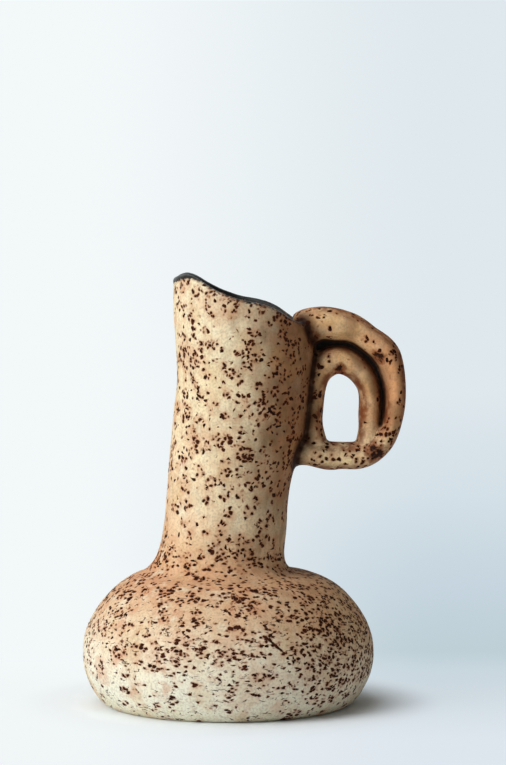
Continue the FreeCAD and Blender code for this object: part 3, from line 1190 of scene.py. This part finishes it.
def paperMaterial(look):
    material, tree, shader, place = newMaterial("paper")
    shader.inputs["Roughness"].default_value = look["rough"]
    axes = addNode(tree, "ShaderNodeSeparateXYZ", {0: place}).outputs
    first, last = look["right"][0][0], look["right"][-1][0]
    stops = [((depth - first) / (last - first), shade) for depth, shade in look["right"]]
    right = colourRamp(tree, between(tree, axes[1], first, last, 0.0, 1.0, "LINEAR"), stops)
    fan = calc(tree, "DIVIDE", axes[0], calc(tree, "ADD", axes[1], look["viewDistance"]))
    # Painted shade on the paper's right-hand side, fading out towards the front and the far sides.
    dimmer = times(
        tree,
        between(tree, fan, *look["rightFrom"]),
        between(tree, axes[1], *look["frontFade"]),
        between(tree, calc(tree, "ABSOLUTE", axes[0]), *look["sideFade"]),
    )
    tone = mixColour(tree, dimmer, roomPale, right)
    glow = addNode(tree, "ShaderNodeEmission", {"Color": tone, "Strength": 1.0})
    path = addNode(tree, "ShaderNodeLightPath").outputs
    seen = calc(tree, "ADD", path["Is Camera Ray"], path["Is Glossy Ray"], clamp=True)
    seen = calc(tree, "ADD", seen, path["Is Transmission Ray"], clamp=True)
    # the paper sends less light back to the jug than the camera sees on it
    floor = mixColour(tree, seen, look["bounce"], look["floor"])
    tree.links.new(floor, shader.inputs["Base Color"])
    away = vectorCalc(tree, "LENGTH", place)
    around = between(tree, away, *look["glowRing"], 0.0, look["floorGlow"])
    behind = between(tree, axes[1], *look["glowBehind"], around, 1.0)
    own = largest(tree, behind, between(tree, away, *look["glowFar"]))
    share = times(tree, seen, own)
    inputs = {0: share, 1: shader.outputs[0], 2: glow.outputs[0]}
    both = addNode(tree, "ShaderNodeMixShader", inputs)
    tree.links.new(both.outputs[0], nodeOf(tree, "OUTPUT_MATERIAL").inputs["Surface"])
    return material


def makeStage(look):
    form = bmesh.new()
    ends = [form.verts.new((side * look["halfWidth"], look["front"], 0)) for side in (-1, 1)]
    edge = form.edges.new(ends)

    def pull(edges, step):
        made = bmesh.ops.extrude_edge_only(form, edges=edges)["geom"]
        verts = [one for one in made if isinstance(one, bmesh.types.BMVert)]
        bmesh.ops.translate(form, vec=step, verts=verts)
        return [one for one in made if isinstance(one, bmesh.types.BMEdge)]

    edges = pull([edge], (0, look["back"] - look["front"] - look["bend"], 0))
    for turn in range(look["turns"]):
        before, after = [math.pi / 2 * (turn + step) / look["turns"] for step in (0, 1)]
        ahead = look["bend"] * (math.sin(after) - math.sin(before))
        upwards = look["bend"] * (math.cos(before) - math.cos(after))
        edges = pull(edges, (0, ahead, upwards))
    pull(edges, (0, 0, look["height"]))
    mesh = meshFrom(form, "paperSweep")
    mesh.shade_smooth()
    mesh.materials.append(paperMaterial(look))
    newPiece("paperSweep", mesh)


makeStage(stageSettings)

lampSettings = {
    "windowLeft": {
        "place": (-1.55, -1.0, 1.05),
        "size": 1.1,
        "power": 33.2,
        "shade": (0.99, 0.985, 0.965),
    },
    "ceiling": {"place": (-0.5, -0.2, 2.0), "size": 1.6, "power": 16.0, "shade": (1.0, 1.0, 1.0)},
}
lampAim = (0, 0, 0.12)
roomLight = {"shade": (1.0, 0.95, 0.87, 1), "strength": 0.13}


def makeLamp(name, look):
    light = bpy.data.lights.new(name, "AREA")
    light.shape = "SQUARE"
    light.size = look["size"]
    light.energy = look["power"]
    light.color = look["shade"]
    lamp = bpy.data.objects.new(name, light)
    lamp.location = look["place"]
    aim = Vector(lampAim) - lamp.location
    lamp.rotation_euler = aim.to_track_quat("-Z", "Y").to_euler()
    scene.collection.objects.link(lamp)


# The room lights the jug dimly and warmly, and the camera sees it pale.
def makeRoom(look):
    world = bpy.data.worlds.new("room")
    world.use_nodes = True
    tree = world.node_tree
    dim = nodeOf(tree, "BACKGROUND")
    dim.inputs["Color"].default_value = look["shade"]
    dim.inputs["Strength"].default_value = look["strength"]
    pale = addNode(tree, "ShaderNodeBackground", {"Color": roomPale})
    path = addNode(tree, "ShaderNodeLightPath").outputs
    inputs = {0: path["Is Camera Ray"], 1: dim.outputs[0], 2: pale.outputs[0]}
    both = addNode(tree, "ShaderNodeMixShader", inputs)
    tree.links.new(both.outputs[0], nodeOf(tree, "OUTPUT_WORLD").inputs["Surface"])
    scene.world = world


for name, look in lampSettings.items():
    makeLamp(name, look)
makeRoom(roomLight)
scene.view_settings.view_transform = "Standard"

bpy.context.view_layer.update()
report("scene ready")
